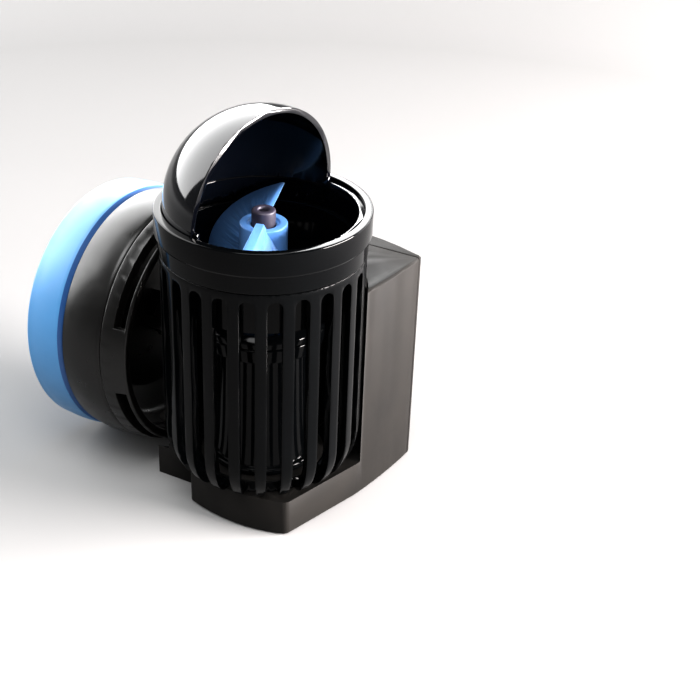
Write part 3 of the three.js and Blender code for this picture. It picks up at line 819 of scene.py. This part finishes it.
def make_well_cover():
    """The lid of the rotor's well, with a plug that fits in it and a low crown."""
    cover = lathe("well_cover_fine", rounded([
        (COVER_BORE_R, COVER_PLUG_FOOT, 0.2),
        (WELL_R - PART_GAP, COVER_PLUG_FOOT, 0.4),
        (WELL_R - PART_GAP, COVER_FOOT, 0.1),
        (COVER_R, COVER_FOOT, 0.2),
        (COVER_R, CAN_TOP + 2.4, 0.9),
        (CAN_R + 1, CAN_TOP + 4, 1.2),
        (COVER_BORE_R, CAN_TOP + 5.4, 0.4),
    ], 3), segments=120)
    smooth(cover, 40)
    return cover


# ------------------------------------------------------------------ magnet holder
# Places along X before the holder is turned.
HOLDER = {
    "glass": -76.8,
    "seam": -63.0,
    "skin": -60.9,
    "back": -58.4,
    "floor": -55.4,
    "groove": -44.7,
    "mouth": -35.2,
}
PAD_R = 45.2
CAP_WALL = 2.7
LIP_DEPTH = 1.2
MAGNET_R = 30.0
KNUCKLE_R = 5.6
KNUCKLES = ((-6.8, -2.8), (2.8, 6.8))  # lowest and highest along the pin
PIN_HOLE_R = 2.3
CUP = {"floor_r": 28.0, "bend_r": 37.2, "bend_x": HOLDER["floor"] + 4, "mouth_r": 39.3, "rim_r": 43.7}


def holder_lathe(name, corners, segments=200, steps=4):
    """A piece turned about the holder's own axis, drawn as (radius, X, rounding) corners."""
    centre = (0, HOLDER_Y, HOLDER_Z)
    return lathe(name, rounded(corners, steps), segments, "X", centre, HOLDER_TURN, corners[0][0] > 0)


def crowned(radius, drop, start, end, steps=12):
    """Points of a wall that is widest at its middle and falls by drop toward both ends."""
    wall = []
    for k in range(steps + 1):
        t = 2 * k / steps - 1
        wall.append((radius - drop * t * t, start + (end - start) * k / steps, 0))
    return wall


def make_buffer():
    """The pad that touches the glass: a flat face, a barely crowned side and a slanted lip."""
    inner_r = PAD_R - CAP_WALL
    inner_x = HOLDER["glass"] + 2.5
    lip_x = HOLDER["seam"] + LIP_DEPTH
    buffer = holder_lathe("buffer_cap_fine", [
        (0, HOLDER["glass"], 0),
        (PAD_R - 0.4, HOLDER["glass"], 2.4),
        *crowned(PAD_R, 0.35, HOLDER["glass"] + 2.6, HOLDER["seam"] - 0.4),
        (PAD_R - 0.5, HOLDER["seam"], 0.3),
        (PAD_R - 1.8, lip_x, 0.4),
        (inner_r, lip_x, 0.2),
        (inner_r, inner_x, 0.4),
        (0, inner_x, 0),
    ], 240, 6)
    smooth(buffer, 30)
    return buffer


def paint_lip_shade(buffer):
    """Paints shade on the slanted lip that faces the cup, as a deeper blue."""
    buffer.data.materials.append(materials["lip_shade_blue"])
    straighten = HOLDER_TURN.inverted()
    lip_start = HOLDER["seam"] + 0.15
    for face in buffer.data.polygons:
        if (straighten @ (face.center / MM)).x > lip_start:
            face.material_index = 1


def make_cup():
    """The magnet's housing, hollow toward the pump, with two knuckles for the hinge pin on its floor."""
    socket_r = PAD_R - CAP_WALL - PART_GAP
    socket_x = HOLDER["glass"] + 2.8
    pocket_r = MAGNET_R + 2
    cup = holder_lathe("magnet_cup_fine", [
        (0, HOLDER["floor"], 0),
        (CUP["floor_r"], HOLDER["floor"], 2),
        (CUP["bend_r"], CUP["bend_x"], 4),
        (CUP["mouth_r"], HOLDER["groove"] - PART_GAP, 0.4),
        (CUP["rim_r"], HOLDER["groove"] - PART_GAP, 0.5),
        *crowned(PAD_R, 0.9, HOLDER["groove"] - 1.0, HOLDER["skin"], 16),
        (socket_r, HOLDER["seam"] + 1.6, 0.1),
        (socket_r, socket_x, 0.3),
        (pocket_r, socket_x, 0.3),
        (pocket_r, HOLDER["back"], 0.5),
        (0, HOLDER["back"], 0),
    ], 240, 6)
    hinge = (HINGE_X, HOLDER_Y, HOLDER_Z)
    for lowest, highest in KNUCKLES:
        profile = [(0, lowest), (KNUCKLE_R, lowest), (KNUCKLE_R, highest), (0, highest)]
        barrel = lathe("barrel", profile, 48, "Z", hinge, HOLDER_TURN)
        root = block_mesh(
            "root",
            (HOLDER["floor"] - 1, HOLDER_Y - KNUCKLE_R, HOLDER_Z + lowest),
            (HINGE_X, HOLDER_Y + KNUCKLE_R, HOLDER_Z + highest),
            HOLDER_TURN,
        )
        combine(barrel, root, "UNION")
        combine(cup, barrel, "UNION")
    pin_hole = [(0, -20), (PIN_HOLE_R, -20), (PIN_HOLE_R, 20), (0, 20)]
    combine(cup, lathe("bore", pin_hole, 32, "Z", hinge, HOLDER_TURN), "DIFFERENCE")
    smooth(cup, 35)
    return cup


# The ring's slots: where they start and end along X, and in degrees what each spans and where they begin.
RING_SLOT = {"from": -40.1, "to": -36.1, "reach": 58, "first": 11, "count": 4}
RING_COLUMNS = 180
RING = {
    "root_r": 44.1,
    "outer_r": 44.7,
    "slot_r": 43.76,
    "slot_end_r": 42.77,
    "mouth_r": 42.7,
    "inner_r": 39.5,
}


def make_slotted_ring():
    """The ring's profile swept round, leaving four gaps in its outer and inner walls and lining them."""
    groove = HOLDER["groove"]
    mouth = HOLDER["mouth"]
    outline = [
        (RING["root_r"], groove),
        (RING["outer_r"], groove + 0.8),
        (RING["slot_r"], RING_SLOT["from"]),
        (RING["slot_end_r"], RING_SLOT["to"]),
        (RING["mouth_r"], mouth - 0.6),
        (RING["mouth_r"] - 0.6, mouth),
        (RING["inner_r"] + 0.4, mouth),
        (RING["inner_r"], mouth - 0.5),
        (RING["inner_r"], RING_SLOT["to"]),
        (RING["inner_r"], RING_SLOT["from"]),
        (RING["inner_r"] + 0.1, groove),
    ]
    outer_wall, inner_wall = 2, 8  # the stretches of the outline that the slots go through
    step = 360 / RING_COLUMNS
    pitch = 360 / RING_SLOT["count"]
    start = math.radians(RING_SLOT["first"]) - REST_SPIN
    verts = []
    for column in range(RING_COLUMNS):
        angle = start + math.radians(step * column)
        for radius, x in outline:
            verts.append((x, radius * math.cos(angle) + HOLDER_Y, radius * math.sin(angle) + HOLDER_Z))

    rows = len(outline)

    def at(column, row):
        return (column % RING_COLUMNS) * rows + row % rows

    def open_here(column):
        return (step * (column % RING_COLUMNS)) % pitch < RING_SLOT["reach"]

    faces = []
    for column in range(RING_COLUMNS):
        for row in range(rows):
            if row in (outer_wall, inner_wall) and open_here(column):
                continue
            faces.append((
                at(column, row), at(column + 1, row),
                at(column + 1, row + 1), at(column, row + 1),
            ))
        if open_here(column):
            for outer_row, inner_row in ((outer_wall, inner_wall + 1), (outer_wall + 1, inner_wall)):
                faces.append((
                    at(column, outer_row), at(column + 1, outer_row),
                    at(column + 1, inner_row), at(column, inner_row),
                ))
        if open_here(column) != open_here(column - 1):
            faces.append((
                at(column, outer_wall), at(column, outer_wall + 1),
                at(column, inner_wall), at(column, inner_wall + 1),
            ))
    ring = mesh_object("slotted_ring_fine", verts, faces, HOLDER_TURN)
    soften(ring, 0.3, 3, 30)
    return ring


# ------------------------------------------------------------------ putting the pieces in place
dress(make_collar(), "pump_body", "gloss_black", "outlet_collar")
dress(make_hood(), "hood", "gloss_black", "outlet_hood", finish="hood_black")
dress(make_cage(), "pump_body", "gloss_black", "cage")
dress(make_propeller(), "rotor", "propeller_blue", "propeller")
dress(make_sleeve(), "rotor", "bearing_grey", "rotor_sleeve")
dress(make_can(), "pump_body", "satin_black", "rotor_can", finish="gloss_black")
dress(make_well_cover(), "pump_body", "satin_black", "well_cover", finish="gloss_black")
buffer = make_buffer()
dress(buffer, "magnet_holder", "buffer_blue", "buffer_cap")
# painted shade: the lip that faces the cup gets a deeper blue
paint_lip_shade(buffer)
dress(make_cup(), "magnet_holder", "satin_black", "magnet_cup", finish="cup_black")
dress(make_slotted_ring(), "magnet_holder", "satin_black", "slotted_ring", finish="cup_black")
for node, body, edge in (
    ("motor_block", "pump_body", 0.5),
    ("rear_cover", "pump_body", 0.4),
    ("swivel_bracket", "pump_body", 0.5),
    ("swivel_stud", "swivel", 0.4),
):
    dress(refined(node, edge), body, "satin_black", node)
for node in ("cable_gland", "gland_nut"):
    dress(refined(node, 0.25, 2), "pump_body", "satin_black", node)
screws = [node for node in frame["nodes"] if "_screw_" in node]
for node in sorted(screws):
    dress(refined(node, 0.12, 2), "pump_body", "steel", node)
dress(refined("hinge_pin", 0.3, 2), "swivel", "steel", "hinge_pin")


# ------------------------------------------------------------------ studio: floor, light and camera
# Lengths here are metres, except where MM follows them.
FLOOR_HALF = 4.0
FLOOR_DROP = 0.0002
FADE_START = 0.5  # the floor's paint grows paler with distance, where less light falls
FADE_END = 1.8
NEAR_DARK = 0.225
NEAR_LIGHT = 0.24
FAR_GREY = 0.9


def floor():
    corners = [(x * FLOOR_HALF, y * FLOOR_HALF, 0) for x, y in ((-1, -1), (1, -1), (1, 1), (-1, 1))]
    mesh = bpy.data.meshes.new("floor")
    mesh.from_pydata(corners, [], [(0, 1, 2, 3)])
    sheet = bpy.data.objects.new("floor", mesh)
    sheet.location.z = CAD_BOX[0][2] - FLOOR_DROP
    scene.collection.objects.link(sheet)
    material, tree, shader = node_tree("floor_paint")
    paint = ramp(tree, noise(tree, 3), [(0.2, grey(NEAR_DARK)), (0.8, grey(NEAR_LIGHT))])
    place = tree.nodes.new("ShaderNodeTexCoord")
    distance = tree.nodes.new("ShaderNodeVectorMath")
    distance.operation = "LENGTH"
    tree.links.new(place.outputs["Object"], distance.inputs[0])
    fade = span(tree, distance.outputs["Value"], FADE_START, FADE_END, 0, 1)
    tree.links.new(mixed(tree, fade, paint, grey(FAR_GREY)), shader.inputs["Base Color"])
    shader.inputs["Roughness"].default_value = 0.9
    shader.inputs["Specular IOR Level"].default_value = 0.1
    mesh.materials.append(material)


def softbox(name, place, aim, size, glow, tint=(1, 1, 1), lights=True, shines=True):
    """A soft light; lights says if it lights matt surfaces, shines if it shows in glossy ones."""
    width, height = size
    lamp = bpy.data.lights.new(name, "AREA")
    lamp.shape = "RECTANGLE"
    lamp.size = width
    lamp.size_y = height
    lamp.energy = glow * math.pi * width * height
    lamp.color = tint
    holder = bpy.data.objects.new(name, lamp)
    holder.location = place
    holder.rotation_euler = (Vector(aim) - Vector(place)).to_track_quat("-Z", "Y").to_euler()
    holder.visible_camera = False
    holder.visible_diffuse = lights
    holder.visible_glossy = shines
    scene.collection.objects.link(holder)


WORLD_GLOW = 0.35
VIEW_GAMMA = 0.85


def studio():
    world = bpy.data.worlds.new("studio")
    world.use_nodes = True
    background = world.node_tree.nodes["Background"]
    background.inputs["Color"].default_value = (1, 1, 1, 1)
    background.inputs["Strength"].default_value = WORLD_GLOW
    scene.world = world
    middle = (0, 0, 0.07)
    # Three panels that show only in reflections and light nothing.
    softbox("left_wall", (-0.785, 0.245, 0.56), middle, (1.85, 1.0), 12, lights=False)
    softbox("back_box", (-0.20, 0.82, 0.53), middle, (0.62, 0.45), 12, lights=False)
    softbox("right_back_box", (0.41, 0.78, 0.26), middle, (0.5, 0.4), 10, lights=False)
    # Three lamps that light the pump and the floor.
    softbox("left_fill", (-0.73, -0.27, 0.62), middle, (1.1, 0.8), 4.5, shines=False)
    softbox("overhead_box", (0.15, -0.3, 0.95), middle, (0.55, 0.55), 14)
    softbox("right_box", (0.8, 0.3, 0.2), (0, 0, 0.04), (0.6, 0.38), 145, tint=(1, 0.945, 0.925))
    scene.view_settings.view_transform = "Standard"
    scene.view_settings.gamma = VIEW_GAMMA


CAMERA_AIM = Vector((40, -14, 75)) * MM
CAMERA_DISTANCE = 440 * MM
CAMERA_AZIMUTH = math.radians(27.13)
CAMERA_ELEVATION = math.radians(30.33)
CAMERA_ROLL = math.radians(2.29)
CAMERA_LENS = 72.8
SENSOR_WIDTH = 36


def camera():
    data = bpy.data.cameras.new("camera")
    data.lens = CAMERA_LENS
    data.sensor_width = SENSOR_WIDTH
    data.clip_start = 0.01
    eye = bpy.data.objects.new("camera", data)
    away = Vector((
        math.sin(CAMERA_AZIMUTH) * math.cos(CAMERA_ELEVATION),
        -math.cos(CAMERA_AZIMUTH) * math.cos(CAMERA_ELEVATION),
        math.sin(CAMERA_ELEVATION),
    ))
    aim = (-away).to_track_quat("-Z", "Y").to_matrix().to_4x4()
    eye.matrix_world = (
        Matrix.Translation(CAMERA_AIM + away * CAMERA_DISTANCE) @ aim @ Matrix.Rotation(CAMERA_ROLL, 4, "Z")
    )
    scene.collection.objects.link(eye)
    scene.camera = eye


floor()
studio()
camera()
